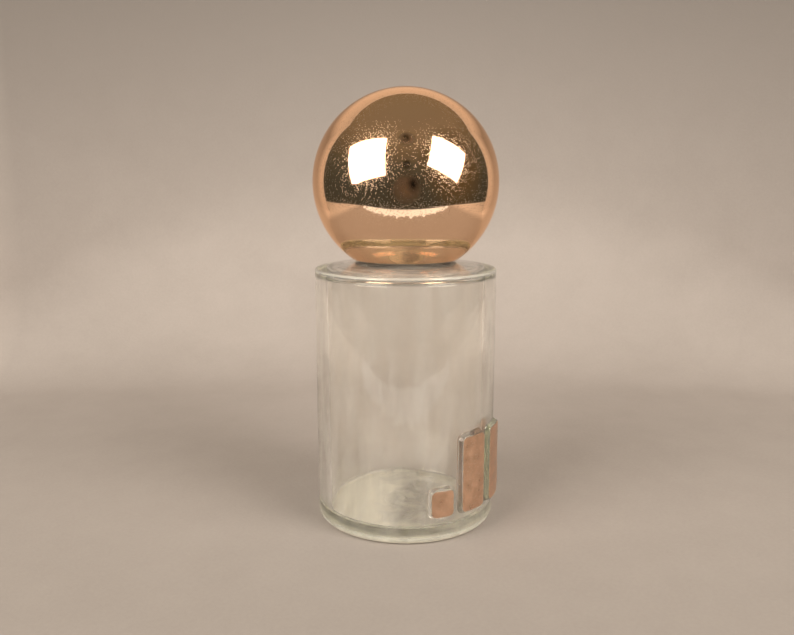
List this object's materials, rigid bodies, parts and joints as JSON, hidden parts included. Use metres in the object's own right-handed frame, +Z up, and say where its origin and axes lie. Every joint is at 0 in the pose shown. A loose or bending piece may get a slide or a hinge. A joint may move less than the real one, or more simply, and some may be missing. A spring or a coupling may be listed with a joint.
{
  "type": "perfume bottle",
  "caption": "Round clear glass perfume bottle with a gently domed shoulder, raised copper bars on the front and a large mirror-finish copper ball as its screw cap.",
  "frame": {"origin": "centre of the bottle's base, on the plane that it stands on", "axes": "+Z up along the axis of the bottle, neck and cap; -Y towards the front, where the raised bars are; +X to the right when the bars are looked at"},
  "size_m": [0.0536, 0.0548, 0.126],
  "materials": {
    "glass": "clear moulded glass with a faint yellow-green tint in the thick base",
    "gilding": "satin copper lacquer, worn at the edges",
    "ball_mirror": "vacuum-metallised copper mirror under clear lacquer, finely scratched",
    "insert_plastic": "moulded natural polypropylene",
    "liner_foam": "closed-cell polyethylene foam",
    "reducer_plastic": "translucent natural polyethylene"
  },
  "bodies": {
    "bottle": {"bottle": "glass", "orifice_reducer": "reducer_plastic", "gilding_tall_left": "gilding", "gilding_tall_right": "gilding", "gilding_short_left": "gilding", "gilding_short_right": "gilding"},
    "liner": {"cap_liner": "liner_foam"},
    "cap": {"cap_insert": "insert_plastic", "ball_lower_shell": "ball_mirror", "ball_upper_shell": "ball_mirror"}
  },
  "joints": [
    {"name": "cap_lift", "type": "slide", "parent": "bottle", "child": "liner", "axis": [0, 0, 1], "range_m": [0, 0.0127]},
    {"name": "cap_turn", "type": "hinge", "parent": "liner", "child": "cap", "pos_m": [0, 0, 0.0842], "axis": [0, 0, 1], "range_deg": [0, 1440]}
  ],
  "couplings": [
    {"joint": "cap_lift", "follows": "cap_turn", "m_per_rad": 0.00050532}
  ]
}
